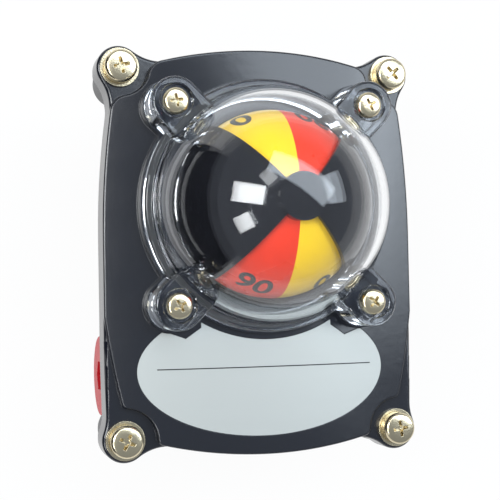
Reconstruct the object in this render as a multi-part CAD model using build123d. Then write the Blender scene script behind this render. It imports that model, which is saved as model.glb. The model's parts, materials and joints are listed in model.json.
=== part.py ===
"""Valve limit switch box with a domed position indicator.

A two-part die-cast box stands on a valve actuator. The actuator turns the drive shaft a quarter
turn. Two spiral cams on the shaft work two roller-lever microswitches, and a tongue on top of the
shaft turns a two-colour rotor under a clear dome.

Frame: millimetres, origin on the shaft axis in the mounting face, +Z up through the dome, +Y towards
the dome end of the box, +X towards the open cable entry.
"""
import os
from math import cos, pi, radians, sin

from build123d import *

os.makedirs("parts", exist_ok=True)

# ---------------------------------------------------------------- driving dimensions (mm, degrees)
# Plan of the box
box_y = -13.1            # centre of the box, seen from the shaft axis
screw_x, screw_y = 41.25, 53.5   # half spacing of the cover screws about the box centre
ear_r = 6.5              # round ears that carry the cover screws
half_width = 46.8        # half width of the cover
half_length = 58.8       # half length on the centre line
end_arc_r = 130.0        # bow of the two ends
top_arc_r, top_arc_y = 250.0, 5.0      # the sides draw in along this arc above its height
low_arc_r, low_arc_y = 680.0, -25.0    # and along this one below its height
neck_r = 14.0            # hollow blend between an ear and its neighbouring edges

# Levels
joint_z = 45.0           # joint between housing and cover
ear_z = 54.0             # top of the cover's ears
crown_z = 59.6           # ridge of the cover's arched top
crown_r = 230.0          # radius of the arch, across the box
seat_z = 60.7            # raised seat of the dome
floor_t = 4.0            # housing floor
roof_t = 3.2             # cover roof
label_recess = 0.3       # depth of the bed that the label lies in

# Dome
dome_screw = 28.4        # half spacing of the square of dome screws
dome_r, dome_wall = 34.0, 2.2
dome_centre_z = 65.5
dome_flange_r, dome_flange_t = 36.5, 4.0
lug_r, lug_z = 7.0, 72.2
counterbore_r, counterbore_t = 4.6, 2.2

seal_out_r, seal_in_r, seal_t = 35.2, 33.2, 1.3   # flat seal under the dome

# Screws of the cover and of the dome
cover_head_r, cover_head_t, cover_shank_r = 4.7, 2.8, 2.45
cover_tip_z = 35.6
washer_t = 1.0           # flat and spring washers alike
dome_head_r, dome_head_t, dome_shank_r = 3.7, 2.7, 2.0
dome_tip_z = 53.4

# Gasket groove of the housing rim
gasket_out, gasket_in, gasket_t = 2.6, 4.2, 1.2   # inset of its two edges from the cover's edge
tight_in = 2.0           # blend of the inner corners of cavities and gasket

# Indicator
mask_r, mask_t = 28.6, 1.4
mask_centre_z = 66.5
mask_hub_r = 6.4
window_half = 41.5       # half angle of each window
mask_rim_z = 63.8        # lower edge of the windows
rotor_gap = 0.4
rotor_t = 1.5
rotor_eye_r = 4.6        # opening in the crown of the rotor, for its screw
rotor_base_z, rotor_cap_z = 64.0, 87.0
rotor_rim_t = 1.4        # ring that ties the red sectors together
rotor_boss_r = 5.6
spindle_top_z = 85.6
spindle_stub_r = 3.0     # part of the spindle that carries the rotor

# Shafts
shaft_r, drive_end_r = 5.0, 4.5
shaft_tip_z, tang_z, shaft_step_z, shaft_top_z = -9.5, -5.0, 0.5, 50.0
tang_t = 4.0             # tongue that fits the actuator's slot
running_gap = 0.04       # radial clearance of the running fits
spindle_r = 4.0
spindle_bush_r, spindle_bush_z = 6.0, 51.6
tongue_t, tongue_w = 3.0, 8.0
bush_r, bush_flange_r = 7.0, 8.8
bush_z, bush_flange_z, bush_top_z = 3.0, 15.0, 16.0
collar_z, spline_z, spline_top_z = 16.1, 20.0, 40.2
spline_root_r, spline_tip_r = 5.9, 6.7

# Grooves turned in the shafts: radius of the bottom, and the two levels
shaft_clip_groove = (4.2, 1.95, 2.95)
shaft_seal_groove = (3.9, 6.0, 7.9)
cam_clip_groove = (5.4, 39.2, 40.2)
spindle_clip_groove = (3.2, 50.7, 51.5)
spindle_seal_groove = (3.1, 55.2, 57.0)

# Cams and switches
cam_z = {"lower": 23.0, "upper": 35.0}
cam_rise = {"lower": 1.0, "upper": -1.0}   # the sign says which way round the cam rises
cam_r, cam_t = 10.2, 6.0
cam_lift = 1.3           # rise over 45 degrees
cam_track = 60.0         # half angle of the rising track
roller_r, roller_t = 2.4, 4.4
axle_r = 0.6
contact_gap = 0.1
pivot_x, pivot_y = 13.0, -15.2
pivot_r = 0.6
switch_face_y = -17.4
switch_l, switch_h, switch_t = 27.8, 15.9, 10.3
switch_x = 4.0           # middle of the switch bodies
plunger_x, plunger_r = 5.5, 1.2
lever_t, lever_w = 0.8, 6.6
switch_pin_r, switch_hole_r = 1.45, 1.55
tab_pitch = 7.5
bracket_t = 1.5
post_places = [(-18.5, -28.0), (26.5, -28.0)]   # posts that carry the switch bracket
tapped_r = 1.9           # tapped holes of the posts and of the ground boss

# Cable entries (G 1/2)
entry_y, entry_z = -50.0, 20.0
entry_r = 9.3
plug_r, plug_head_t = 12.4, 2.0
wall_x, foot_x = 42.0, 39.4   # half width of the housing below its flange, and at its foot
boss_x = 41.4            # outer faces of the two entry bosses
wall_t = 3.2
foot_half_length, mouth_half_length = 55.4, 56.8   # half length of the housing at its foot and flange

# Mounting face
bolt_circle_r, bolt_hole_r, bolt_depth = 25.0, 2.5, 9.0

# Terminal strip
terminal_pitch, terminal_ways = 7.2, 8
terminal_y, terminal_z = -46.8, 30.0
terminal_depth = 11.6
strip_screw_x, strip_screw_y = 33.5, -41.0   # fixing screws of the strip
strip_screw_r = 1.25
wire_r = 0.7
ground_place = (-28.0, 22.0)   # earth screw, on its own boss
ground_z = 9.0


# ---------------------------------------------------------------- shared helpers
def box_place(z):
    """Place a plan drawn about the box centre at height z."""
    return Pos(0, box_y, z)


def corners(x, y):
    return [(-x, -y), (-x, y), (x, -y), (x, y)]


def lens(width, arc_r, y):
    """Overlap of two circles that is widest at y."""
    return Pos(width - arc_r, y) * Circle(arc_r) & Pos(arc_r - width, y) * Circle(arc_r)


def plate(width, length):
    """Plan of the box with its four bowed edges, before the corners are worked."""
    bow = Circle(end_arc_r)
    ends = Pos(0, length - end_arc_r) * bow & Pos(0, end_arc_r - length) * bow
    straight = Rectangle(2 * width, 2 * length)
    upper = lens(width, top_arc_r, top_arc_y) + Pos(0, top_arc_y - length) * straight
    lower = lens(width, low_arc_r, low_arc_y) + Pos(0, low_arc_y + length) * straight
    return ends & upper & lower


def sharp_corners(plan, reach):
    """Vertices of a plan that lie on circles of radius reach about the cover screws."""
    found = []
    for v in plan.vertices():
        for x, y in corners(screw_x, screw_y):
            near = abs(Vector(v.X - x, v.Y - y).length - reach) < 0.02
            seam = abs(v.Y - y) < 0.01
            if near and not seam:
                found.append(v)
    return found


def eared_plan(inset):
    """Plan of the cover, or of the housing flange, with the round ears blended in."""
    ears = [Pos(x, y) * Circle(ear_r - inset) for x, y in corners(screw_x, screw_y)]
    plan = plate(half_width - inset, half_length - inset) + ears
    return fillet(sharp_corners(plan, ear_r - inset), neck_r)


def hollow_plan(width, length, clear_r):
    """Plan that keeps clear_r away from the cover screws, for cavities and for the gasket."""
    plan = plate(width, length)
    for x, y in corners(screw_x, screw_y):
        plan -= Pos(x, y) * Circle(clear_r)
    return fillet(sharp_corners(plan, clear_r), tight_in)


def rounded_plan(width, length, corner_r):
    """Plan with four plain rounded corners, for the housing below its flange."""
    plan = plate(width, length)
    return fillet(plan.vertices().filter_by(lambda v: abs(v.Y) > length / 2), corner_r)


def cyl(r, z0, z1, x=0.0, y=0.0):
    """Upright cylinder from z0 to z1."""
    return Pos(x, y, z0) * Cylinder(r, z1 - z0, align=(Align.CENTER, Align.CENTER, Align.MIN))


def ring(r_out, r_in, z0, z1, x=0.0, y=0.0):
    return cyl(r_out, z0, z1, x, y) - cyl(r_in, z0, z1, x, y)


def block(x0, x1, y0, y1, z0, z1):
    """Box between two corners."""
    size = Box(x1 - x0, y1 - y0, z1 - z0, align=(Align.MIN, Align.MIN, Align.MIN))
    return Pos(x0, y0, z0) * size


def cross_cyl(r, x0, x1, y, z):
    """Cylinder along X from x0 to x1."""
    bar = Cylinder(r, x1 - x0, align=(Align.CENTER, Align.CENTER, Align.MIN))
    return Pos(x0, y, z) * Rot(0, 90, 0) * bar


def pan_screw(r_head, t_head, r_shank, under_head_z, tip_z, x, y):
    """Pan head screw that stands upright."""
    head = cyl(r_head, under_head_z, under_head_z + t_head)
    head = fillet(head.edges().group_by(Axis.Z)[-1], t_head * 0.35)
    return Pos(x, y, 0) * (head + cyl(r_shank, tip_z, under_head_z))


def groove_cut(bar_r, groove):
    """Ring to take out of a bar of radius bar_r."""
    r, z0, z1 = groove
    return ring(bar_r, r, z0, z1)


def circlip(groove, r_out):
    """External retaining ring in a groove, with its gap towards +X."""
    r, z0, z1 = groove
    play = 0.05
    gap = block(0, r_out + 1, -1.2, 1.2, z0 + play, z1 - play)
    return ring(r_out, r, z0 + play, z1 - play) - gap


def shaft_ring(groove, r_out):
    """Rubber ring that lies in a groove."""
    r, z0, z1 = groove
    play = 0.1
    return ring(r_out, r, z0 + play, z1 - play)


def save(name, shape, colour):
    """Write one node, as one solid or as a group of separate solids."""
    solids = shape if isinstance(shape, list) else [shape]
    node = Compound(children=[s.solid() for s in solids]) if len(solids) > 1 else solids[0].solid()
    node.label = name
    node.color = Color(*colour)
    export_step(node, f"parts/{name}.step")


BLACK = (0.05, 0.05, 0.06)
DARK = (0.12, 0.12, 0.13)
RUBBER = (0.15, 0.15, 0.15)
FILM = (0.85, 0.87, 0.90)
IVORY = (0.90, 0.90, 0.85)
BLUE = (0.20, 0.30, 0.70)
STEEL = (0.72, 0.70, 0.64)
RED = (0.85, 0.16, 0.12)
YELLOW = (0.95, 0.80, 0.10)
CLEAR = (0.80, 0.86, 0.90)
BRASS = (0.75, 0.62, 0.30)


# ---------------------------------------------------------------- cover
def crown_plan():
    """Arched top of the cover: bays round the screws, and long tapers beside the lower pair."""
    top_bay_r, low_bay_r = 8.2, 9.0
    taper_r, taper_x, taper_y = 200.0, 151.7, 6.1
    taper = Pos(taper_x, taper_y) * Circle(taper_r) & Pos(-taper_x, taper_y) * Circle(taper_r)
    upper = Pos(0, half_length) * Rectangle(4 * half_width, 2 * half_length)
    face = plate(half_width, half_length) & (taper + upper)
    for x, y in corners(screw_x, screw_y):
        face -= Pos(x, y) * Circle(top_bay_r if y > 0 else low_bay_r)
    face = fillet(sharp_corners(face, top_bay_r), 5.0)
    return fillet(sharp_corners(face, low_bay_r), 2.0)


def arch(rise):
    """Long cylinder whose upper side is the arched top of the cover, raised by rise."""
    reach = 4 * half_length
    return Pos(0, reach / 2, crown_z - crown_r) * Rot(90, 0, 0) * Cylinder(
        crown_r + rise, reach, align=(Align.CENTER, Align.CENTER, Align.MIN))


def lug_plan(extra):
    """The four radial lugs of the dome, as one plan that reaches in to the flange."""
    reach = Vector(dome_screw, dome_screw).length
    end_r = lug_r + extra
    arm = Pos(reach / 2, 0) * Rectangle(reach, 2 * end_r) + Pos(reach, 0) * Circle(end_r)
    plan = Rot(0, 0, 45) * arm
    for turn in (135, 225, 315):
        plan += Rot(0, 0, turn) * arm
    return plan


def label_plan():
    """Oval label below the dome, cut round the dome and notched at its two lower lugs."""
    oval = Pos(-1.0, -34.2) * Ellipse(36.9, 19.1)
    peak, notch, shoulder = (19.5, -21.8), (24.0, -24.9), (28.4, -23.3)
    above = -15.0
    dome_y = -box_y
    plan = oval - Pos(0, dome_y) * Circle(dome_flange_r + 2.2)
    for side in (-1, 1):
        plan -= Pos(side * dome_screw, dome_y - dome_screw) * Circle(lug_r + 1.0)
        bite = [peak, notch, shoulder, (shoulder[0], above), (peak[0], above)]
        plan -= make_face(Polyline(*[(side * x, y) for x, y in bite], close=True))
    return plan


def label_plate():
    """Thin plate bent to the arch; it lies in a shallow recess of the cover."""
    blank = box_place(ear_z) * extrude(label_plan(), crown_z - ear_z + 1)
    return (blank & arch(0.2)) - arch(-label_recess)


def cover():
    """Cover: eared skirt, arched top, raised dome seat, cavity, spindle boss and label bed."""
    tapped_tip_z = 53.0
    seat_edge = 0.6      # how far the raised seat stands out past the dome
    skirt = box_place(joint_z) * extrude(eared_plan(0), ear_z - joint_z)
    skirt = fillet(skirt.edges().group_by(Axis.Z)[-1], 1.0)
    top = box_place(ear_z - 1.5) * extrude(crown_plan(), crown_z - ear_z + 2.5) & arch(0)
    top = fillet(top.faces().sort_by(Axis.Z)[-1].edges(), 0.6)
    seat_plan = lug_plan(seat_edge) + Circle(dome_flange_r + seat_edge)
    seat = Pos(0, 0, ear_z) * extrude(seat_plan, seat_z - ear_z)
    shell = skirt + top + seat
    cavity = hollow_plan(half_width - 4.6, half_length - 4.6, 8.2)
    shell -= box_place(joint_z) * extrude(cavity, ear_z - roof_t - joint_z)
    recess = hollow_plan(half_width - 9.6, half_length - 8.4, 13.5)
    shell -= box_place(joint_z) * extrude(recess, crown_z - joint_z) & arch(-roof_t)
    shell += cyl(9.0, spindle_bush_z, seat_z)
    for x, y in corners(dome_screw, dome_screw):
        shell += cyl(4.6, 51.5, seat_z, x, y)
        shell -= cyl(dome_shank_r, tapped_tip_z, seat_z, x, y)
    for x, y in corners(screw_x, screw_y):
        shell -= box_place(joint_z) * cyl(2.75, 0, ear_z - joint_z + 1, x, y)
    mask_seat_r = mask_r - mask_t
    shell += ring(mask_seat_r, mask_seat_r - 1.8, seat_z, seat_z + 2.0)
    shell -= dome_gasket()
    shell -= cyl(spindle_bush_r, 51.0, seat_z + 1)
    label_bed = box_place(ear_z) * extrude(label_plan(), crown_z - ear_z + 1)
    return shell - (label_bed - arch(-label_recess))


def dome_gasket():
    return ring(seal_out_r, seal_in_r, seat_z - seal_t, seat_z)


def cover_gasket():
    """Flat cord that lies in a groove of the housing rim, inside the cover screws."""
    outer = hollow_plan(half_width - gasket_out, half_length - gasket_out, 6.2)
    inner = hollow_plan(half_width - gasket_in, half_length - gasket_in, 7.8)
    return box_place(joint_z - gasket_t) * extrude(outer - inner, gasket_t)


def cover_fixings():
    """Screws, spring washers and flat washers of the cover, one stack on each ear."""
    flat_r, spring_r, eye_r = 5.65, 4.6, 2.7
    split_w, split_turn = 0.8, 20
    spring_z = ear_z + washer_t
    head_z = spring_z + washer_t
    screws, springs, flats = [], [], []
    for x, y in corners(screw_x, screw_y):
        place = Pos(x, box_y + y, 0)
        flats.append(place * ring(flat_r, eye_r, ear_z, spring_z))
        split = Rot(0, 0, split_turn) * block(0, flat_r, -split_w / 2, split_w / 2, spring_z, head_z)
        springs.append(place * (ring(spring_r, eye_r, spring_z, head_z) - split))
        head = (cover_head_r, cover_head_t, cover_shank_r)
        screws.append(pan_screw(*head, head_z, cover_tip_z, x, box_y + y))
    return screws, springs, flats


# ---------------------------------------------------------------- dome and indicator
def dome_profile(r, centre_z, foot_z):
    """Half section of a solid round-topped body that stands at foot_z."""
    wall = Line((0, foot_z), (r, foot_z)) + Line((r, foot_z), (r, centre_z))
    crown = RadiusArc((r, centre_z), (0, centre_z + r), -r)
    return revolve(Plane.XZ * make_face(wall + crown + Line((0, centre_z + r), (0, foot_z))), Axis.Z)


def dome():
    """Clear dome with a flange and four counterbored lugs."""
    shell = dome_profile(dome_r, dome_centre_z, seat_z)
    shell += cyl(dome_flange_r, seat_z, seat_z + dome_flange_t)
    lugs = Pos(0, 0, seat_z) * extrude(lug_plan(0), lug_z - seat_z)
    shell += lugs
    shell -= dome_profile(dome_r - dome_wall, dome_centre_z, seat_z)
    for x, y in corners(dome_screw, dome_screw):
        shell -= cyl(2.2, seat_z, lug_z, x, y)
        shell -= cyl(counterbore_r, lug_z - counterbore_t, lug_z, x, y)
    return shell


def dome_screws():
    head = (dome_head_r, dome_head_t, dome_shank_r)
    head_z = lug_z - counterbore_t
    return [pan_screw(*head, head_z, dome_tip_z, x, y) for x, y in corners(dome_screw, dome_screw)]


def mask():
    """Black inner dome with two windows and a flat hub."""
    inner_r = mask_r - mask_t
    shell = dome_profile(mask_r, mask_centre_z, seat_z)
    shell -= dome_profile(inner_r, mask_centre_z, seat_z)
    half = radians(window_half)
    reach = 2 * mask_r
    wedge = make_face(Polyline((0, 0), (reach * sin(half), reach * cos(half)),
                               (-reach * sin(half), reach * cos(half)), close=True))
    window = Pos(0, 0, mask_rim_z) * extrude(wedge, reach) - cyl(mask_hub_r, mask_rim_z, 2 * reach)
    shell -= window
    shell -= Rot(0, 0, 180) * window
    hub_z = mask_centre_z + mask_r
    return shell + cyl(mask_hub_r, hub_z - mask_t, hub_z + 1.0)


def rotor_shell():
    """Round-topped shell of the rotor, before it is split into its four sectors."""
    r = mask_r - mask_t - rotor_gap
    shell = dome_profile(r, mask_centre_z, rotor_base_z)
    shell -= dome_profile(r - rotor_t, mask_centre_z, rotor_base_z)
    return shell - cyl(rotor_eye_r, rotor_cap_z, mask_centre_z + r + 1)


def quadrants(first, z0):
    """Two opposite quarter-turn sectors, the first one starting at the angle first."""
    reach = 40.0
    sector = block(0, reach, 0, reach, z0, 110)
    return Rot(0, 0, first) * sector + Rot(0, 0, first + 180) * sector


def rotor_red():
    """Rotor: two red sectors, rim, cross webs and the boss that sits on the spindle."""
    r = mask_r - mask_t - rotor_gap
    web_half, web_reach = 0.8, r - 1
    webs_top = rotor_base_z + 24
    body = rotor_shell() & quadrants(0, rotor_base_z)
    body += ring(r, r - 5.0, rotor_base_z, rotor_base_z + rotor_rim_t)
    webs = block(-web_reach, web_reach, -web_half, web_half, rotor_base_z, webs_top)
    webs += block(-web_half, web_half, -web_reach, web_reach, rotor_base_z, webs_top)
    body += webs & dome_profile(r - rotor_t, mask_centre_z, rotor_base_z)
    body += cyl(rotor_boss_r, rotor_base_z, rotor_cap_z)
    body -= cyl(3.6, rotor_cap_z, webs_top)
    body -= cyl(spindle_stub_r, rotor_base_z, spindle_top_z)
    return body - cyl(1.4, spindle_top_z, rotor_cap_z)


def sectors_yellow():
    return (rotor_shell() & quadrants(90, rotor_base_z + rotor_rim_t)).solids()


def spindle():
    """Indicator spindle: tongue, journal, collar and the stub that carries the rotor."""
    journal_z, collar_foot_z = 50.3, 62.2
    body = cyl(spindle_r, journal_z, collar_foot_z) + cyl(6.4, collar_foot_z, rotor_base_z)
    body += cyl(spindle_stub_r, rotor_base_z, spindle_top_z)
    tongue = block(-tongue_t / 2, tongue_t / 2, -tongue_w / 2, tongue_w / 2, 45.5, journal_z + 0.1)
    body += tongue & cyl(spindle_r, joint_z, journal_z + 0.7)
    body -= groove_cut(spindle_r, spindle_clip_groove)
    body -= groove_cut(spindle_r, spindle_seal_groove)
    return body - cyl(1.25, 76.0, spindle_top_z)


def spindle_bush():
    bore_r = spindle_r + running_gap
    return ring(spindle_bush_r, bore_r, spindle_bush_z, seat_z) + ring(7.6, bore_r, seat_z, 62.1)


# ---------------------------------------------------------------- drive shaft and cams
def spline(r_root, r_tip, gap, z0, z1):
    """Splined bar of eighteen teeth; gap widens it for the hole that slides over it."""
    teeth = 18
    root, tip = r_root + gap, r_tip + gap
    half_tooth = pi * (root + tip) / 2 / teeth / 2 + gap
    half_tip = half_tooth * 0.7
    flank = [(root - 0.5, -half_tooth), (tip, -half_tip), (tip, half_tip), (root - 0.5, half_tooth)]
    tooth = make_face(Polyline(*flank, close=True))
    plan = Circle(root)
    for turn in range(teeth):
        plan += Rot(0, 0, 360 / teeth * turn) * tooth
    return Pos(0, 0, z0) * extrude(plan, z1 - z0)


def drive_shaft():
    """Shaft: driving tongue, journal, collar, splines for the cams and a slot for the spindle."""
    slot_half = tongue_t / 2 + 0.05
    body = cyl(drive_end_r, tang_z, shaft_step_z) + cyl(shaft_r, shaft_step_z, shaft_top_z)
    body += block(-tang_t / 2, tang_t / 2, -4.0, 4.0, shaft_tip_z, tang_z)
    body += cyl(7.2, collar_z, spline_z)
    body += spline(spline_root_r, spline_tip_r, 0, spline_z, spline_top_z)
    body -= block(-slot_half, slot_half, -6, 6, joint_z, shaft_top_z)
    body -= groove_cut(shaft_r, shaft_clip_groove)
    body -= groove_cut(shaft_r, shaft_seal_groove)
    return body - groove_cut(spline_tip_r + 0.8, cam_clip_groove)


def shaft_bush():
    bore_r = shaft_r + running_gap
    barrel = ring(bush_r, bore_r, bush_z, bush_flange_z)
    return barrel + ring(bush_flange_r, bore_r, bush_flange_z, bush_top_z)


def cam_radius(angle, sign):
    """Radius of a cam at an angle from its switch; it falls or rises evenly over the track."""
    slope = cam_lift / 45.0
    if abs(angle) <= cam_track:
        return cam_r - sign * slope * angle
    back = (abs(angle) - cam_track) / (180.0 - cam_track)
    side = 1.0 if angle > 0 else -1.0
    return cam_r - sign * side * slope * cam_track * cos(back * pi / 2)


def cam(level):
    """Spiral cam with a splined bore; its track faces the switch at -Y."""
    outline = []
    for angle in range(-180, 180, 10):
        r = cam_radius(angle, cam_rise[level])
        world = radians(angle - 90.0)
        outline.append((r * cos(world), r * sin(world)))
    edge = Spline(*outline, periodic=True)
    z0 = cam_z[level] - cam_t / 2
    disc = Pos(0, 0, z0) * extrude(make_face(edge), cam_t)
    return disc - spline(spline_root_r, spline_tip_r, 0.1, z0, z0 + cam_t)


def cam_spring():
    """Coil spring that keeps the cams apart."""
    wire_r, coil_r, turns = 0.55, 7.9, 2.5
    z0 = cam_z["lower"] + cam_t / 2 + wire_r
    rise = cam_z["upper"] - cam_z["lower"] - cam_t - 2 * wire_r
    path = Pos(0, 0, z0) * Helix(rise / turns, rise, coil_r)
    section = Plane(path @ 0, z_dir=path % 0) * Circle(wire_r)
    return sweep(section, path, is_frenet=True)


# ---------------------------------------------------------------- switches
def switch_holes():
    """Two diagonal mounting holes of the switch body."""
    return [(switch_x + 11.1, switch_face_y - 3.6), (switch_x - 11.1, switch_face_y - 12.5)]


def switch_body(level):
    """Switch body with two ears for the lever's pin, a plunger guide and two fixing holes."""
    z = cam_z[level]
    half_t = switch_t / 2
    half_l = switch_l / 2
    back_y = switch_face_y - switch_h
    ear_half_w, ear_t, ear_mid = 1.3, 1.2, 4.1
    body = block(switch_x - half_l, switch_x + half_l, back_y, switch_face_y, z - half_t, z + half_t)
    body = chamfer(body.edges().filter_by(Axis.Z), 0.8)
    for side in (-1, 1):
        z0 = z + side * ear_mid - ear_t / 2
        z1 = z0 + ear_t
        body += block(pivot_x - ear_half_w, pivot_x + ear_half_w, switch_face_y - 1, pivot_y, z0, z1)
        body += cyl(ear_half_w, z0, z1, pivot_x, pivot_y)
    body -= cyl(pivot_r, z - half_t, z + half_t, pivot_x, pivot_y)
    for x, y in switch_holes():
        body -= cyl(switch_hole_r, z - half_t, z + half_t, x, y)
    guide = Pos(plunger_x, switch_face_y - 4, z) * Rot(-90, 0, 0) * Cylinder(
        plunger_r + 0.06, 5, align=(Align.CENTER, Align.CENTER, Align.MIN))
    return body - guide


def plunger(level):
    """Round-nosed pin that the lever presses."""
    foot_y = switch_face_y - 2.8
    length = pivot_y - lever_t / 2 - contact_gap - foot_y
    pin = Cylinder(plunger_r, length, align=(Align.CENTER, Align.CENTER, Align.MIN))
    pin = fillet(pin.edges().group_by(Axis.Z)[-1], 0.8)
    return Pos(plunger_x, foot_y, cam_z[level]) * Rot(-90, 0, 0) * pin


def roller_centre_y():
    return -(cam_r + roller_r + contact_gap)


def lever(level):
    """Pressed lever: barrel on the pivot pin, blade over the plunger, fork round the roller."""
    z = cam_z[level]
    half_w, half_t = lever_w / 2, lever_t / 2
    low_y, high_y = pivot_y - half_t, pivot_y + half_t
    body = cyl(1.25, z - half_w, z + half_w, pivot_x, pivot_y)
    body += block(3.2, pivot_x, low_y, high_y, z - half_w, z + half_w)
    for side in (-1, 1):
        mid = z + side * (half_w - half_t)
        body += block(-1.4, 3.6, low_y, roller_centre_y() + 1.1, mid - half_t, mid + half_t)
    body -= cyl(pivot_r + running_gap, z - half_w, z + half_w, pivot_x, pivot_y)
    return body - cyl(axle_r, z - half_w, z + half_w, 0, roller_centre_y())


def roller(level):
    half_t = roller_t / 2
    z = cam_z[level]
    return ring(roller_r, axle_r + running_gap, z - half_t, z + half_t, 0, roller_centre_y())


def roller_axle(level):
    z = cam_z[level]
    return cyl(axle_r, z - lever_w / 2, z + lever_w / 2, 0, roller_centre_y())


def pivot_pins():
    reach = 4.7
    return [cyl(pivot_r, z - reach, z + reach, pivot_x, pivot_y) for z in cam_z.values()]


def tab_places():
    return [switch_x - tab_pitch, switch_x, switch_x + tab_pitch]


def switch_tabs(level):
    z = cam_z[level]
    back_y = switch_face_y - switch_h
    tabs = []
    for x in tab_places():
        tab = block(x - 2.4, x + 2.4, back_y - 4.5, back_y, z - 0.4, z + 0.4)
        tabs.append(tab - cyl(0.8, z - 1, z + 1, x, back_y - 3.0))
    return tabs


def switch_stack():
    """Screws, spacers and nuts that clamp both switches to the bracket."""
    half_t = switch_t / 2
    top = cam_z["upper"] + half_t
    under_z = bracket_top_z() - bracket_t
    nut_r, nut_t = 3.1, 2.4
    screws, spacers, nuts = [], [], []
    for x, y in switch_holes():
        screws.append(pan_screw(2.7, 2.0, switch_pin_r, top, under_z - nut_t - 1.0, x, y))
        spacers.append(ring(2.8, switch_hole_r, cam_z["lower"] + half_t, cam_z["upper"] - half_t, x, y))
        nut = Pos(x, y, under_z - nut_t) * extrude(RegularPolygon(nut_r, 6), nut_t)
        nuts.append(nut - cyl(switch_pin_r, under_z - nut_t, under_z, x, y))
    return screws, spacers, nuts


def bracket_top_z():
    return cam_z["lower"] - switch_t / 2


def switch_bracket():
    """Flat bracket on two posts, with the two switches stacked on it."""
    z = bracket_top_z()
    base = block(-22.5, 30.5, -33.0, -19.5, z - bracket_t, z)
    base = fillet(base.edges().filter_by(Axis.Z), 3.0)
    for x, y in post_places:
        base -= cyl(2.1, z - bracket_t, z, x, y)
    for x, y in switch_holes():
        base -= cyl(1.6, z - bracket_t, z, x, y)
    return base


def bracket_screws():
    z = bracket_top_z()
    return [pan_screw(3.6, 2.4, tapped_r, z, z - 9.5, x, y) for x, y in post_places]


# ---------------------------------------------------------------- housing
def drafted_block():
    """Outer form of the housing below its flange, wider at the flange than at the foot."""
    foot = box_place(0) * rounded_plan(foot_x, foot_half_length, 6.0)
    mouth = box_place(joint_z - 4.0) * rounded_plan(wall_x, mouth_half_length, 6.0)
    return loft([foot, mouth], ruled=True)


def housing_cavity():
    foot = hollow_plan(foot_x - wall_t, foot_half_length - wall_t, 13.5)
    mouth = hollow_plan(wall_x - wall_t, mouth_half_length - wall_t, 13.5)
    return loft([box_place(floor_t) * foot, box_place(joint_z) * mouth], ruled=True)


def entry_bosses(body):
    """Add the round bosses of the two cable entries, faced off flat."""
    limit = box_place(0) * extrude(rounded_plan(boss_x, half_length - 2.6, 6.0), joint_z)
    boss_r, boss_foot_x = 13.4, 38.0
    for side in (-1, 1):
        x0, x1 = sorted((side * boss_foot_x, side * boss_x))
        body += cross_cyl(boss_r, x0, x1, entry_y, entry_z) & limit
        x0, x1 = sorted((side * boss_x, side * (boss_x + 3)))
        body -= cross_cyl(boss_r, x0, x1, entry_y, entry_z)
    return body


def entry_pads(body):
    """Add the inner pads that carry the terminal strip, and bore the entries through them."""
    for side in (-1, 1):
        x0, x1 = sorted((side * 31.0, side * (wall_x - 1)))
        pad = block(x0, x1, entry_y - 13, -37.0, floor_t - 1, terminal_z)
        body += pad & drafted_block()
        x0, x1 = sorted((side * 30, side * 43))
        body -= cross_cyl(entry_r, x0, x1, entry_y, entry_z)
        body -= cyl(strip_screw_r, terminal_z - 6, terminal_z, side * strip_screw_x, strip_screw_y)
    return body


def housing():
    """Drafted box with flange, screw bosses, cable entries, posts and the bore of the shaft."""
    flange_t = 5.0
    post_r, post_top_z = 4.0, bracket_top_z() - bracket_t
    flange = box_place(joint_z - flange_t) * extrude(eared_plan(0.6), flange_t)
    flange = fillet(flange.edges().group_by(Axis.Z)[0], 1.0)
    body = drafted_block()
    body = fillet(body.edges().group_by(Axis.Z)[0], 1.4)
    body += flange
    for x, y in corners(screw_x - 1.9, screw_y - 1.9):
        boss = box_place(0) * cyl(7.0, 34.0, joint_z - 0.5, x, y)
        body += fillet(boss.edges().group_by(Axis.Z)[0], 1.5)
    body = entry_bosses(body)
    body -= housing_cavity()
    body += cyl(9.6, floor_t - 1, bush_flange_z)
    bolt_reach = bolt_circle_r * cos(pi / 4)
    for x, y in corners(bolt_reach, bolt_reach):
        body += cyl(5.4, floor_t - 1, bolt_depth + 3.0, x, y)
        body -= cyl(bolt_hole_r, 0, bolt_depth, x, y)
    body = entry_pads(body)
    for x, y in post_places:
        body += cyl(post_r, floor_t - 1, post_top_z, x, y)
        body -= cyl(tapped_r, post_top_z - 9.0, post_top_z, x, y)
    body += cyl(4.2, floor_t - 1, ground_z, *ground_place)
    body -= cyl(tapped_r, 3.0, ground_z, *ground_place)
    body -= cyl(bush_r, bush_z, bush_flange_z)
    body -= cyl(8.0, 0, bush_z)
    for x, y in corners(screw_x, screw_y):
        body -= box_place(0) * cyl(2.5, 35.0, joint_z + 1, x, y)
    return body - cover_gasket()


def ground_screw():
    return pan_screw(3.7, 2.5, tapped_r, ground_z + 1.0, 4.0, *ground_place)


def ground_washer():
    return ring(4.6, 2.05, ground_z, ground_z + 1.0, *ground_place)


def cable_plug():
    """Blanking plug with a hexagon recess, screwed into the entry on the -X side."""
    tip, hollow_r, hollow_x = -32.0, 6.4, -35.0
    face = -boss_x - plug_head_t
    head = cross_cyl(plug_r, face, -boss_x, entry_y, entry_z)
    head = fillet(head.edges().group_by(Axis.X)[0], 0.7)
    body = head + cross_cyl(entry_r, -boss_x, tip, entry_y, entry_z)
    body -= cross_cyl(hollow_r, hollow_x, tip, entry_y, entry_z)
    recess = Pos(face, entry_y, entry_z) * Rot(0, 90, 0) * extrude(RegularPolygon(5.0, 6), 6.0)
    return body - recess - plug_seal()


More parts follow.
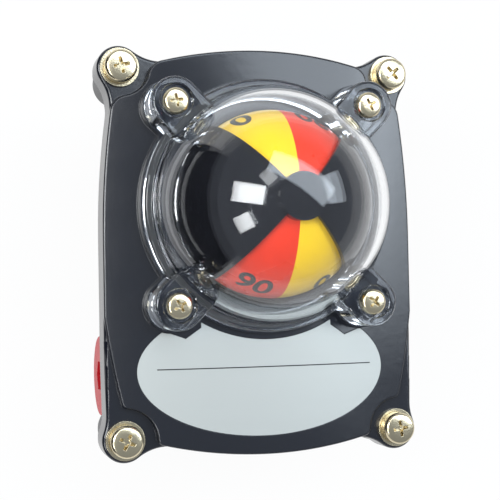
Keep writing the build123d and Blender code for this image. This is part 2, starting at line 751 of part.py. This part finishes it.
def plug_seal():
    """Flat seal in the underside of the plug's head."""
    outer_r, thickness = 11.4, 1.0
    outer = cross_cyl(outer_r, -boss_x - thickness, -boss_x, entry_y, entry_z)
    return outer - cross_cyl(entry_r, -boss_x - thickness, -boss_x, entry_y, entry_z)


# ---------------------------------------------------------------- terminal strip and wires
def terminal_xs():
    first = -(terminal_ways - 1) / 2 * terminal_pitch
    return [first + terminal_pitch * way for way in range(terminal_ways)]


def terminal_block():
    half_l = terminal_ways * terminal_pitch / 2
    y0, y1 = terminal_y - terminal_depth / 2, terminal_y + terminal_depth / 2
    body = block(-half_l - 0.7, half_l + 0.7, y0, y1, terminal_z, terminal_z + 4.0)
    for way in range(terminal_ways + 1):
        x = -half_l + terminal_pitch * way
        body += block(x - 0.7, x + 0.7, y0, y1, terminal_z, terminal_z + 9.5)
    for side in (-1, 1):
        x0, x1 = sorted((side * half_l, side * 36.5))
        body += block(x0, x1, y1 - 7.5, y1 + 3.0, terminal_z, terminal_z + 3.0)
        body -= cyl(1.6, terminal_z, terminal_z + 3.0, side * strip_screw_x, strip_screw_y)
    for x in terminal_xs():
        body -= cyl(1.5, terminal_z + 0.8, terminal_z + 4.0, x, terminal_y)
    return body


def terminal_metal():
    """Clamp plates and clamp screws, one pair to each way."""
    plates, screws = [], []
    z = terminal_z + 4.0
    for x in terminal_xs():
        clamp = block(x - 2.6, x + 2.6, terminal_y - 4.6, terminal_y + 4.6, z, z + 0.9)
        plates.append(clamp - cyl(1.5, z, z + 1, x, terminal_y))
        screws.append(pan_screw(2.5, 1.9, 1.5, z + 0.9, z - 3.0, x, terminal_y))
    return plates, screws


def terminal_fixing_screws():
    places = [(side * strip_screw_x, strip_screw_y) for side in (-1, 1)]
    return [pan_screw(2.6, 2.0, strip_screw_r, terminal_z + 3.0, terminal_z - 5.0, x, y) for x, y in places]


def switch_wires():
    """Six insulated wires from the switch tabs to the first six terminals."""
    tab_y = switch_face_y - switch_h - 4.5
    clamp_y = terminal_y + terminal_depth / 2 - 1.2
    clamp_z = terminal_z + 4.0 + 0.9 + wire_r
    wires = []
    ends = terminal_xs()
    mid_y = (tab_y + clamp_y) / 2
    for level, first in (("lower", 0), ("upper", 3)):
        for way, x in enumerate(tab_places()):
            z, target = cam_z[level], ends[first + way]
            middle = ((x + target) / 2, mid_y, (z + clamp_z) / 2)
            stops = [(x, tab_y, z), middle, (target, clamp_y, clamp_z)]
            route = Spline(*stops, tangents=((0, -1, 0), (0, -1, 0)))
            section = Plane(route @ 0, z_dir=route % 0) * Circle(wire_r)
            wires.append(sweep(section, route))
    return wires


# ---------------------------------------------------------------- write every node
def main():
    cover_screws, spring_washers, flat_washers = cover_fixings()
    switch_screws, switch_spacers, switch_nuts = switch_stack()
    terminal_plates, clamp_screws = terminal_metal()
    save("housing", housing(), BLACK)
    save("cover", cover(), BLACK)
    save("cover_gasket", cover_gasket(), RUBBER)
    save("cover_screws", cover_screws, STEEL)
    save("cover_spring_washers", spring_washers, STEEL)
    save("cover_flat_washers", flat_washers, STEEL)
    save("label_plate", label_plate(), FILM)
    save("dome", dome(), CLEAR)
    save("dome_gasket", dome_gasket(), RUBBER)
    save("dome_screws", dome_screws(), STEEL)
    save("indicator_mask", mask(), BLACK)
    save("indicator_rotor_red", rotor_red(), RED)
    save("indicator_sectors_yellow", sectors_yellow(), YELLOW)
    save("indicator_spindle", spindle(), STEEL)
    save("indicator_screw", pan_screw(2.9, 2.0, 1.25, rotor_cap_z, 77.0, 0, 0), STEEL)
    save("spindle_bush", spindle_bush(), BRASS)
    save("spindle_seal", shaft_ring(spindle_seal_groove, spindle_r), RUBBER)
    save("spindle_circlip", circlip(spindle_clip_groove, 5.8), STEEL)
    save("drive_shaft", drive_shaft(), STEEL)
    save("shaft_bush", shaft_bush(), BRASS)
    save("shaft_seal", shaft_ring(shaft_seal_groove, shaft_r), RUBBER)
    save("shaft_circlip", circlip(shaft_clip_groove, 6.8), STEEL)
    save("cam_washer", ring(9.0, 6.75, cam_z["upper"] + cam_t / 2, cam_clip_groove[1]), STEEL)
    save("cam_circlip", circlip(cam_clip_groove, 8.2), STEEL)
    save("cam_spring", cam_spring(), STEEL)
    for level in cam_z:
        save(f"cam_{level}", cam(level), RED if level == "lower" else YELLOW)
        save(f"switch_body_{level}", switch_body(level), DARK)
        save(f"switch_terminals_{level}", switch_tabs(level), BRASS)
        save(f"switch_plunger_{level}", plunger(level), RED)
        save(f"switch_lever_{level}", lever(level), STEEL)
        save(f"switch_roller_{level}", roller(level), IVORY)
        save(f"roller_axle_{level}", roller_axle(level), STEEL)
    save("lever_pivot_pins", pivot_pins(), STEEL)
    save("switch_screws", switch_screws, STEEL)
    save("switch_spacers", switch_spacers, STEEL)
    save("switch_nuts", switch_nuts, STEEL)
    save("switch_bracket", switch_bracket(), STEEL)
    save("bracket_screws", bracket_screws(), STEEL)
    save("ground_screw", ground_screw(), STEEL)
    save("ground_washer", ground_washer(), BRASS)
    save("terminal_block", terminal_block(), DARK)
    save("terminal_plates", terminal_plates, BRASS)
    save("terminal_clamp_screws", clamp_screws, STEEL)
    save("terminal_fixing_screws", terminal_fixing_screws(), STEEL)
    save("switch_wires", switch_wires(), BLUE)
    save("cable_plug", cable_plug(), RED)
    save("plug_seal", plug_seal(), RUBBER)


main()
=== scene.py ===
"""Looks of the valve limit switch box: materials, dome, screw recesses, dial numbers, light and camera."""
import json
from math import cos, pi, radians, sin

import bmesh
import bpy
from mathutils import Matrix, Vector


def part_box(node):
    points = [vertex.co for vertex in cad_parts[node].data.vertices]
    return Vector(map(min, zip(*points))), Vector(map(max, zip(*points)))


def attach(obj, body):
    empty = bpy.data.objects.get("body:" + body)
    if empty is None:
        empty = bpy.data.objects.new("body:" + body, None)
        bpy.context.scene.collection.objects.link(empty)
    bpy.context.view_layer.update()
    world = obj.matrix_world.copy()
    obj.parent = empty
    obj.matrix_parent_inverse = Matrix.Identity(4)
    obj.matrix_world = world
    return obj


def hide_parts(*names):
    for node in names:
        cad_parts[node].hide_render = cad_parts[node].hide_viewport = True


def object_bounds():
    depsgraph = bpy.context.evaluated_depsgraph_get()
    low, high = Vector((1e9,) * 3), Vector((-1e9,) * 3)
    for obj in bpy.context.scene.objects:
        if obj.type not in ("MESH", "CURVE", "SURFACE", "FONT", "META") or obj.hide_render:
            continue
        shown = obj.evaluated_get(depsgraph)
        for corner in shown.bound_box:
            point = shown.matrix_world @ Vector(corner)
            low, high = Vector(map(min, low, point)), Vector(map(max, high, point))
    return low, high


MM = 0.001

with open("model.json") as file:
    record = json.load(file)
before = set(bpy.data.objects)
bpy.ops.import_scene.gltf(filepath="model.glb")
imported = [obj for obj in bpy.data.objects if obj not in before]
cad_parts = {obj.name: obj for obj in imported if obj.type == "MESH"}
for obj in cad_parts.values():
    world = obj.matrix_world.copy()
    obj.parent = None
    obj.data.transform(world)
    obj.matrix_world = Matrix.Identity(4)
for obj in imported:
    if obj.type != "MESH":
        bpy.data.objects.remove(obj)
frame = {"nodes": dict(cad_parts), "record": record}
cad_low, cad_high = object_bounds()
nodes = frame["nodes"]

# ---------------------------------------------------------------- sizes, as in the solids unless noted
# Dome
flange_t = 4.0 * MM
dome_r, dome_wall = 34.0 * MM, 2.2 * MM
lug_r, lug_top = 7.0 * MM, 72.2 * MM
lug_reach = 40.163 * MM                 # from the dome's axis to a lug's screw
lug_turns = (45, 135, 225, 315)
lug_hole_r = 2.2 * MM
well_r, well_z = 4.6 * MM, 70.0 * MM    # counterbore that a dome screw's head sits in
dome_lift = 0.04 * MM                   # air under the dome, which turns light back inside its foot

# Dial, label and cable entry
dial_centre = Vector((0, 0, 66.5 * MM))
arch_r = 230.0 * MM                     # bend of the cover's top and of the label
entry_mouth = Vector((41.0, -50.0, 20.0)) * MM
entry_root_r, entry_crest_r = 9.28 * MM, 8.75 * MM    # of the scene's own thread, just inside the bore
entry_pitch, entry_turns = 1.814 * MM, 6


# ---------------------------------------------------------------- mesh helpers
def new_object(name, bm, material, sharp=35.0):
    """Object from a bmesh, smooth where its faces meet at less than the sharp angle."""
    bmesh.ops.recalc_face_normals(bm, faces=bm.faces)
    mesh = bpy.data.meshes.new(name)
    bm.to_mesh(mesh)
    bm.free()
    mesh.materials.append(material)
    obj = bpy.data.objects.new(name, mesh)
    bpy.context.scene.collection.objects.link(obj)
    shade(obj, sharp)
    return obj


def shade(obj, sharp):
    """Smooth shading with hard edges where faces meet at more than the sharp angle."""
    bm = bmesh.new()
    bm.from_mesh(obj.data)
    for face in bm.faces:
        face.smooth = True
    for edge in bm.edges:
        edge.smooth = len(edge.link_faces) == 2 and edge.calc_face_angle(0.0) < radians(sharp)
    bm.to_mesh(obj.data)
    bm.free()


def lathe(bm, profile, at=(0.0, 0.0), segments=96, closed=False):
    """Surface of revolution of (radius, height) points about an upright axis; radius 0 closes it."""
    rings = []
    for r, z in profile:
        if r == 0:
            rings.append([bm.verts.new((at[0], at[1], z))])
            continue
        ring = []
        for i in range(segments):
            a = 2 * pi * i / segments
            ring.append(bm.verts.new((at[0] + r * cos(a), at[1] + r * sin(a), z)))
        rings.append(ring)
    following = rings[1:] + rings[:1] if closed else rings[1:]
    for lower, upper in zip(rings, following):
        for i in range(segments):
            j = (i + 1) % segments
            corners = [lower[i % len(lower)], lower[j % len(lower)]]
            corners += [upper[j % len(upper)], upper[i % len(upper)]]
            face = list(dict.fromkeys(corners))
            if len(face) > 2:
                bm.faces.new(face)


def stacked(bm, outlines):
    """Closed body through outlines of equally many points each, with a flat face at both ends."""
    rings = [[bm.verts.new(place) for place in outline] for outline in outlines]
    for lower, upper in zip(rings, rings[1:]):
        for i in range(len(lower)):
            j = (i + 1) % len(lower)
            bm.faces.new((lower[i], lower[j], upper[j], upper[i]))
    bm.faces.new(rings[0])
    bm.faces.new(rings[-1])


def arc(centre, radius, start, end, steps):
    """Points of an arc in the (radius, height) plane, angles in degrees from the level."""
    points = []
    for i in range(steps + 1):
        a = radians(start + (end - start) * i / steps)
        points.append((centre[0] + radius * cos(a), centre[1] + radius * sin(a)))
    return points


def combine(obj, tool, operation, sharp=35.0):
    """Joins the tool's volume to an object, or takes it out, for good."""
    modifier = obj.modifiers.new("combine", "BOOLEAN")
    modifier.operation = operation
    modifier.solver = "EXACT"
    modifier.object = tool
    depsgraph = bpy.context.evaluated_depsgraph_get()
    mesh = bpy.data.meshes.new_from_object(obj.evaluated_get(depsgraph))
    obj.modifiers.clear()
    old = obj.data
    obj.data = mesh
    bpy.data.meshes.remove(old)
    bpy.data.objects.remove(tool)
    shade(obj, sharp)


def stand_in(piece, node, body):
    """Lets a piece stand for a CAD node."""
    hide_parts(node)
    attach(piece, body)


# ---------------------------------------------------------------- material helpers
def blank_material(name):
    """Node material that holds only its output, with its tree and the socket for its shader."""
    made = bpy.data.materials.new(name)
    made.use_nodes = True
    tree = made.node_tree
    tree.nodes.clear()
    out = tree.nodes.new("ShaderNodeOutputMaterial")
    return made, tree, out.inputs["Surface"]


def node_of(tree, kind, **values):
    """Shader node with some of its inputs or properties set."""
    made = tree.nodes.new(kind)
    for key, value in values.items():
        if key in made.inputs:
            made.inputs[key].default_value = value
        else:
            setattr(made, key, value)
    return made


def bumped(tree, texture, strength):
    """Bump node that reads a texture."""
    bump = node_of(tree, "ShaderNodeBump", Strength=strength, Distance=0.5 * MM)
    tree.links.new(texture.outputs["Fac"], bump.inputs["Height"])
    return bump


def material(name, colour, roughness, metallic=0.0, grain=900.0, depth=0.02, spread=0.04, tint=0.0,
             ior=1.5, edge=0.0, stretch=(1.0, 1.0, 1.0)):
    """Surface with uneven sheen, a faint change of colour, a fine bump and softened edges."""
    made, tree, surface_out = blank_material(name)
    surface = node_of(tree, "ShaderNodeBsdfPrincipled", Metallic=metallic, IOR=ior)
    place = tree.nodes.new("ShaderNodeTexCoord")
    drawn = node_of(tree, "ShaderNodeMapping", Scale=stretch)
    tree.links.new(place.outputs["Object"], drawn.inputs["Vector"])
    patches = node_of(tree, "ShaderNodeTexNoise", Scale=60.0, Detail=4.0)
    fine = node_of(tree, "ShaderNodeTexNoise", Scale=grain, Detail=3.0)
    for texture in (patches, fine):
        tree.links.new(drawn.outputs["Vector"], texture.inputs["Vector"])
    sheen = tree.nodes.new("ShaderNodeMapRange")
    sheen.inputs["To Min"].default_value = max(roughness - spread, 0.0)
    sheen.inputs["To Max"].default_value = roughness + spread
    tree.links.new(patches.outputs["Fac"], sheen.inputs["Value"])
    tree.links.new(sheen.outputs["Result"], surface.inputs["Roughness"])
    mix = tree.nodes.new("ShaderNodeMix")
    mix.data_type = "RGBA"
    mix.inputs["A"].default_value = (*colour, 1.0)
    mix.inputs["B"].default_value = (*[c * (1.0 - tint) for c in colour], 1.0)
    tree.links.new(patches.outputs["Fac"], mix.inputs["Factor"])
    tree.links.new(mix.outputs["Result"], surface.inputs["Base Color"])
    bump = bumped(tree, fine, depth)
    if edge:
        softened = node_of(tree, "ShaderNodeBevel", Radius=edge, samples=6)
        tree.links.new(softened.outputs["Normal"], bump.inputs["Normal"])
    tree.links.new(bump.outputs["Normal"], surface.inputs["Normal"])
    tree.links.new(surface.outputs["BSDF"], surface_out)
    return made


def clear_material(name):
    """Clear moulded plastic that lets light through to what it covers."""
    made, tree, surface_out = blank_material(name)
    glass = node_of(tree, "ShaderNodeBsdfPrincipled", Roughness=0.015, IOR=1.5)
    glass.inputs["Base Color"].default_value = (0.97, 0.985, 1.0, 1.0)
    glass.inputs["Transmission Weight"].default_value = 1.0
    place = tree.nodes.new("ShaderNodeTexCoord")
    waves = node_of(tree, "ShaderNodeTexNoise", Scale=70.0, Detail=1.0)
    tree.links.new(place.outputs["Object"], waves.inputs["Vector"])
    tree.links.new(bumped(tree, waves, 0.03).outputs["Normal"], glass.inputs["Normal"])
    see_through = tree.nodes.new("ShaderNodeBsdfTransparent")
    see_through.inputs["Color"].default_value = (0.92, 0.94, 0.96, 1.0)
    path = tree.nodes.new("ShaderNodeLightPath")
    mix = tree.nodes.new("ShaderNodeMixShader")
    tree.links.new(path.outputs["Is Shadow Ray"], mix.inputs["Fac"])
    tree.links.new(glass.outputs["BSDF"], mix.inputs[1])
    tree.links.new(see_through.outputs["BSDF"], mix.inputs[2])
    tree.links.new(mix.outputs["Shader"], surface_out)
    return made


# ---------------------------------------------------------------- materials of the CAD nodes
paint = (0.008, 0.010, 0.016)
cover_coat = material("cover_coat", paint, 0.19, grain=420.0, depth=0.04, tint=0.2, ior=1.7, edge=0.45 * MM)
housing_coat = material("housing_coat", paint, 0.34, grain=520.0, depth=0.12, tint=0.2, edge=0.5 * MM)
zinc = material("zinc", (0.82, 0.72, 0.50), 0.22, metallic=1.0, grain=1600.0, depth=0.06, tint=0.25,
                edge=0.2 * MM)
stainless = material("stainless", (0.62, 0.62, 0.63), 0.25, metallic=1.0, tint=0.1, edge=0.2 * MM)
spring_steel = material("spring_steel", (0.38, 0.38, 0.40), 0.3, metallic=1.0, tint=0.2)
bronze = material("bronze", (0.62, 0.40, 0.20), 0.35, metallic=1.0, tint=0.25)
brass = material("brass", (0.80, 0.62, 0.28), 0.28, metallic=1.0, tint=0.2)
rubber = material("rubber", (0.02, 0.02, 0.02), 0.75, depth=0.15)
label_film = material("label_film", (0.55, 0.575, 0.55), 0.36, metallic=0.25, grain=700.0, depth=0.03,
                      tint=0.10, stretch=(0.15, 1.0, 1.0))
mask_black = material("mask_black", (0.006, 0.006, 0.008), 0.08, depth=0.008)
dial_red = material("dial_red", (0.74, 0.035, 0.008), 0.28, depth=0.01, tint=0.05)
dial_yellow = material("dial_yellow", (0.84, 0.52, 0.010), 0.28, depth=0.01, tint=0.05)
red_plastic = material("red_plastic", (0.56, 0.010, 0.018), 0.42, tint=0.1, edge=0.2 * MM)
dark_plastic = material("dark_plastic", (0.03, 0.03, 0.033), 0.5, depth=0.12, edge=0.2 * MM)
pale_plastic = material("pale_plastic", (0.80, 0.78, 0.70), 0.45)
wire_blue = material("wire_blue", (0.05, 0.10, 0.40), 0.4)
print_black = material("print_black", (0.02, 0.02, 0.02), 0.4)
clear_plastic = clear_material("clear_plastic")

finishes = {
    "housing_paint": housing_coat,
    "cover_paint": cover_coat,
    "seal_rubber": rubber,
    "zinc_steel": zinc,
    "stainless": stainless,
    "spring_steel": spring_steel,
    "bush_bronze": bronze,
    "contact_brass": brass,
    "label_film": label_film,
    "clear_dome": clear_plastic,
    "black_gloss": mask_black,
    "red_plastic": red_plastic,
    "yellow_plastic": dial_yellow,
    "dark_plastic": dark_plastic,
    "roller_plastic": pale_plastic,
    "wire_insulation": wire_blue,
}


def dress_nodes():
    """Gives every CAD node the material of its slot; the rotor has its own brighter red."""
    for part in frame["record"]["subparts"]:
        finish = finishes[part["material_slot"]]
        if part["node"] == "indicator_rotor_red":
            finish = dial_red
        mesh = nodes[part["node"]].data
        mesh.materials.clear()
        mesh.materials.append(finish)


# ---------------------------------------------------------------- screws with cross recesses
def cross_outline(reach, half_width):
    """Twelve points of a plus sign whose arms narrow a little outwards, in order."""
    half_tip = 0.8 * half_width
    points = []
    for quarter in range(4):
        a = pi / 2 * quarter
        for x, y in ((reach, -half_tip), (reach, half_tip), (half_width, half_width)):
            points.append((x * cos(a) - y * sin(a), x * sin(a) + y * cos(a)))
    return points


def cross_recess(at, top, reach, half_width, depth, turn):
    """Tapered cross that is driven into a screw head; its arms lose length twice as fast as width."""
    above, mouth_scale, floor_scale = 0.3 * MM, 1.12, 0.5
    spin = Matrix.Rotation(radians(turn), 2)
    outlines = []
    for z, scale in ((top + above, mouth_scale), (top - depth, floor_scale)):
        outline = cross_outline(reach * scale, half_width * (0.5 + 0.5 * scale))
        ring = [spin @ Vector(p) for p in outline]
        outlines.append([(at[0] + p.x, at[1] + p.y, z) for p in ring])
    bm = bmesh.new()
    stacked(bm, outlines)
    return new_object("cross_recess", bm, zinc)


def detailed_screws(name, node, head_r, head_t, shank_r, body, turns):
    """The four pan head screws of a node, with domed heads and cross recesses."""
    low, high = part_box(node)
    seat, top = high.z - head_t, high.z
    point_r, point_t = 0.8 * shank_r, 0.5 * MM
    edge, rim_drop = 0.42 * head_t, 0.15 * MM
    crown_r, crown_drop = 0.5 * head_r, 0.03 * MM
    reach, half_width, depth = 0.50 * head_r, 0.115 * head_r, 0.6 * head_t
    places = [(x, y) for y in (high.y - head_r, low.y + head_r) for x in (low.x + head_r, high.x - head_r)]
    profile = [(0, low.z), (point_r, low.z), (shank_r, low.z + point_t), (shank_r, seat), (head_r, seat)]
    profile += arc((head_r - edge, top - edge - rim_drop), edge, 0, 78, 8)
    profile += [(crown_r, top - crown_drop), (0, top)]
    bm = bmesh.new()
    for at in places:
        lathe(bm, profile, at, 64)
    screws = new_object(name, bm, zinc)
    for at, turn in zip(places, turns):
        combine(screws, cross_recess(at, top, reach, half_width, depth, turn), "DIFFERENCE")
    stand_in(screws, node, body)


# ---------------------------------------------------------------- clear dome
def dome_shell(foot, top, flange_r):
    """Dome with its flange, all outer edges rounded."""
    flange_edge, foot_edge, foot_blend = 1.0 * MM, 0.3 * MM, 0.8 * MM
    centre_z = top - dome_r
    inner_r = dome_r - dome_wall
    flange_z = foot - dome_lift + flange_t
    profile = [(inner_r, foot), (flange_r - foot_edge, foot), (flange_r, foot + foot_edge)]
    profile += arc((flange_r - flange_edge, flange_z - flange_edge), flange_edge, 0, 90, 6)
    profile += arc((dome_r + foot_blend, flange_z + foot_blend), foot_blend, -90, -180, 5)
    profile += arc((0, centre_z), dome_r, 2, 90, 40)[:-1] + [(0, centre_z + dome_r)]
    profile += [(0, centre_z + inner_r)] + arc((0, centre_z), inner_r, 90, 0, 40)[1:]
    bm = bmesh.new()
    lathe(bm, profile, segments=160, closed=True)
    return new_object("dome_clear", bm, clear_plastic)


def dome_lug(turn, foot):
    """Rounded lug that grows out of the dome's wall; its side is a path of (radius, height) points."""
    edge, root = 1.1 * MM, 32.3 * MM
    side = [(lug_r, foot)] + arc((lug_r - edge, lug_top - edge), edge, 0, 90, 6)
    spin = Matrix.Rotation(radians(turn), 2)
    outlines = []
    for r, z in side:
        outline = [(root, -r)] + arc((lug_reach, 0), r, -90, 90, 30) + [(root, r)]
        outlines.append([(*(spin @ Vector(p)), z) for p in outline])
    bm = bmesh.new()
    stacked(bm, outlines)
    return new_object("dome_lug", bm, clear_plastic)


def lug_hole(turn, foot):
    """Stepped hole of a lug, with a softened mouth; it reaches past the lug at both ends."""
    mouth, past = 0.35 * MM, 1.0 * MM
    a = radians(turn)
    centre = (lug_reach * cos(a), lug_reach * sin(a))
    profile = [(0, foot - past), (lug_hole_r, foot - past), (lug_hole_r, well_z), (well_r, well_z)]
    profile += [(well_r, lug_top - mouth), (well_r + mouth, lug_top), (well_r + mouth, lug_top + past)]
    profile += [(0, lug_top + past)]
    bm = bmesh.new()
    lathe(bm, profile, centre, 64)
    return new_object("lug_hole", bm, clear_plastic)


def clear_dome():
    """Clear dome that stands a hair above its seat."""
    low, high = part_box("dome")
    foot = low.z + dome_lift
    dome = dome_shell(foot, high.z, high.x)
    for turn in lug_turns:
        combine(dome, dome_lug(turn, foot), "UNION")
    for turn in lug_turns:
        combine(dome, lug_hole(turn, foot), "DIFFERENCE")
    stand_in(dome, "dome", "cover")


# ---------------------------------------------------------------- thread of the open cable entry
def entry_thread():
    """Thread crests inside the open entry, as rings of a fine sawtooth."""
    corners = ((0.45, entry_crest_r), (0.55, entry_crest_r), (1.0, entry_root_r))
    profile = [(entry_root_r, 0.0)]
    for turn in range(entry_turns):
        profile += [(r, -(turn + share) * entry_pitch) for share, r in corners]
    bm = bmesh.new()
    lathe(bm, profile)
    bmesh.ops.rotate(bm, verts=bm.verts, cent=(0, 0, 0), matrix=Matrix.Rotation(pi / 2, 3, "Y"))
    bmesh.ops.translate(bm, verts=bm.verts, vec=entry_mouth)
    thread = new_object("entry_thread", bm, housing_coat)
    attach(thread, "housing")


# ---------------------------------------------------------------- dial numbers and label line
rotor_low, rotor_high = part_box("indicator_rotor_red")
dial_r = (rotor_high.x - rotor_low.x) / 2


def dial_number(name, text, azimuth, polar, height):
    """Plain figures that lie on the dial, with their tops towards the hub; angles in degrees."""
    figure_share, stroke = 0.70, 0.03      # figure height over font size; thickening over figure height
    clearance, longest = 0.04 * MM, 0.6 * MM
    curve = bpy.data.curves.new(name, "FONT")
    curve.body = text
    curve.size = height / figure_share
    curve.align_x = "CENTER"
    curve.align_y = "CENTER"
    curve.offset = stroke * height
    flat = bpy.data.objects.new(name + "_flat", curve)
    bpy.context.scene.collection.objects.link(flat)
    mesh = bpy.data.meshes.new_from_object(flat.evaluated_get(bpy.context.evaluated_depsgraph_get()))
    bpy.data.objects.remove(flat)
    bm = bmesh.new()
    bm.from_mesh(mesh)
    bpy.data.meshes.remove(mesh)
    bmesh.ops.triangulate(bm, faces=bm.faces)
    bmesh.ops.subdivide_edges(bm, edges=[e for e in bm.edges if e.calc_length() > longest], cuts=3)
    for v in bm.verts:
        theta = radians(polar) - v.co.y / dial_r
        phi = radians(azimuth) + v.co.x / (dial_r * sin(radians(polar)))
        outward = Vector((sin(theta) * cos(phi), sin(theta) * sin(phi), cos(theta)))
        v.co = dial_centre + (dial_r + clearance) * outward
    number = new_object(name, bm, print_black, sharp=180.0)
    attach(number, "indicator")


def dial_numbers():
    """Zero on both yellow sectors and ninety on both red ones."""
    for turn in (0, 180):
        dial_number(f"dial_zero_{turn}", "0", azimuth=116.7 + turn, polar=69.5, height=8.0 * MM)
        dial_number(f"dial_ninety_{turn}", "90", azimuth=68.5 + turn, polar=65.5, height=7.5 * MM)


def label_line():
    """Thin printed rule across the label, bent to its arch."""
    low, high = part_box("label_plate")
    half_w, thickness, steps = 0.16 * MM, 0.03 * MM, 48
    left_gap, right_gap, y = 5.6 * MM, 3.7 * MM, -46.6 * MM
    start, end = low.x + left_gap, high.x - right_gap
    front, back = y - half_w, y + half_w
    sections = []
    for i in range(steps + 1):
        x = start + (end - start) * i / steps
        z = high.z - x * x / (2 * arch_r)
        sections.append([(x, front, z), (x, back, z), (x, back, z + thickness), (x, front, z + thickness)])
    bm = bmesh.new()
    stacked(bm, sections)
    line = new_object("label_line", bm, print_black)
    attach(line, "cover")


# ---------------------------------------------------------------- floor, light and camera
def shown_white(tree, shader, share):
    """Mixes plain white into a shader for what the camera, gloss and clear pieces see of it."""
    white = node_of(tree, "ShaderNodeEmission", Strength=1.0)
    path = tree.nodes.new("ShaderNodeLightPath")
    seen = path.outputs["Is Camera Ray"]
    for ray in ("Is Glossy Ray", "Is Transmission Ray"):
        either = node_of(tree, "ShaderNodeMath", operation="MAXIMUM")
        tree.links.new(seen, either.inputs[0])
        tree.links.new(path.outputs[ray], either.inputs[1])
        seen = either.outputs["Value"]
    part_of = node_of(tree, "ShaderNodeMath", operation="MULTIPLY")
    part_of.inputs[1].default_value = share
    tree.links.new(seen, part_of.inputs[0])
    mix = tree.nodes.new("ShaderNodeMixShader")
    tree.links.new(part_of.outputs["Value"], mix.inputs["Fac"])
    tree.links.new(shader, mix.inputs[1])
    tree.links.new(white.outputs["Emission"], mix.inputs[2])
    return mix.outputs["Shader"]


def floor():
    """Round floor whose rim rises far off, so that no view from the side looks past it."""
    surface = material("floor_pale", (0.88, 0.88, 0.88), 0.9, depth=0.0)
    tree = surface.node_tree
    out = tree.nodes["Material Output"]
    shader = out.inputs["Surface"].links[0].from_socket
    tree.links.new(shown_white(tree, shader, share=0.94), out.inputs["Surface"])
    gap, flat_r, rim_r = 0.02 * MM, 5.2, 0.8
    z = cad_low.z - gap
    bm = bmesh.new()
    lathe(bm, [(0, z), (flat_r, z)] + arc((flat_r, z + rim_r), rim_r, -80, 0, 8))
    new_object("floor", bm, surface)


def dark_screen():
    """Black cloth that only gloss and clear pieces show, so that the dome's left stays dark."""
    surface = material("screen_black", (0.02, 0.02, 0.02), 0.9, depth=0.0)
    x, near, far, height = -0.125, -0.16, 0.12, 0.11
    corners = ((near, 0.0), (far, 0.0), (far, height), (near, height))
    bm = bmesh.new()
    bm.faces.new([bm.verts.new((x, y, z)) for y, z in corners])
    screen = new_object("screen", bm, surface)
    screen.visible_camera = False
    screen.visible_diffuse = False
    screen.visible_shadow = False


def soft_light(name, at, size, radiance, colour):
    """Rectangular soft box that faces the object; radiance is what a mirror would show of it."""
    target = Vector((0, 0, 0.06))
    data = bpy.data.lights.new(name, "AREA")
    data.shape = "RECTANGLE"
    data.size, data.size_y = size
    data.energy = radiance * pi * size[0] * size[1]
    data.color = colour
    lamp = bpy.data.objects.new(name, data)
    lamp.location = at
    lamp.rotation_mode = "QUATERNION"
    lamp.rotation_quaternion = (Vector(at) - target).to_track_quat("Z", "Y")
    bpy.context.scene.collection.objects.link(lamp)


def lights():
    """Panes of a window at the left, an overcast sky at the back and right, and an even surround."""
    daylight, overcast = (0.97, 0.99, 1.0), (0.82, 0.91, 1.0)
    soft_light("window_upper", (-0.86, 0.18, 1.20), (0.46, 0.78), 9.0, daylight)
    soft_light("window_lower", (-0.92, -0.48, 1.05), (0.38, 0.40), 7.0, daylight)
    soft_light("window_side", (-0.42, 0.55, 1.35), (0.30, 0.34), 3.0, daylight)
    soft_light("overcast_back", (0.42, 0.62, 1.5), (2.0, 0.65), 3.9, overcast)
    soft_light("overcast_right", (1.35, 0.34, 1.3), (0.8, 0.6), 3.0, overcast)
    world = bpy.data.worlds.new("studio")
    bpy.context.scene.world = world
    world.use_nodes = True
    back = world.node_tree.nodes["Background"]
    back.inputs["Color"].default_value = (0.82, 0.89, 1.0, 1.0)
    back.inputs["Strength"].default_value = 0.36


def camera():
    """Camera that looks down on the cover, a little from its left."""
    place = (-0.0988, -0.0256, 0.4007)
    roll, pitch, yaw = radians(1.13), radians(-2.08), radians(15.41)
    data = bpy.data.cameras.new("camera")
    data.sensor_width = 36.0
    data.lens = 87.9
    data.clip_start, data.clip_end = 0.01, 50.0
    turn = Matrix.Rotation(roll, 3, "Z") @ Matrix.Rotation(pitch, 3, "X") @ Matrix.Rotation(yaw, 3, "Y")
    made = bpy.data.objects.new("camera", data)
    made.matrix_world = Matrix.Translation(place) @ turn.transposed().to_4x4()
    bpy.context.scene.collection.objects.link(made)
    bpy.context.scene.camera = made


dress_nodes()
detailed_screws("cover_screws_cross_recess", "cover_screws", head_r=4.7 * MM, head_t=2.8 * MM,
                shank_r=2.45 * MM, body="cover", turns=(12, 40, 66, 8))
detailed_screws("dome_screws_cross_recess", "dome_screws", head_r=3.7 * MM, head_t=2.7 * MM,
                shank_r=2.0 * MM, body="cover", turns=(10, 25, 30, 50))
clear_dome()
entry_thread()
dial_numbers()
label_line()
floor()
dark_screen()
lights()
camera()
bpy.context.scene.view_settings.view_transform = "Standard"
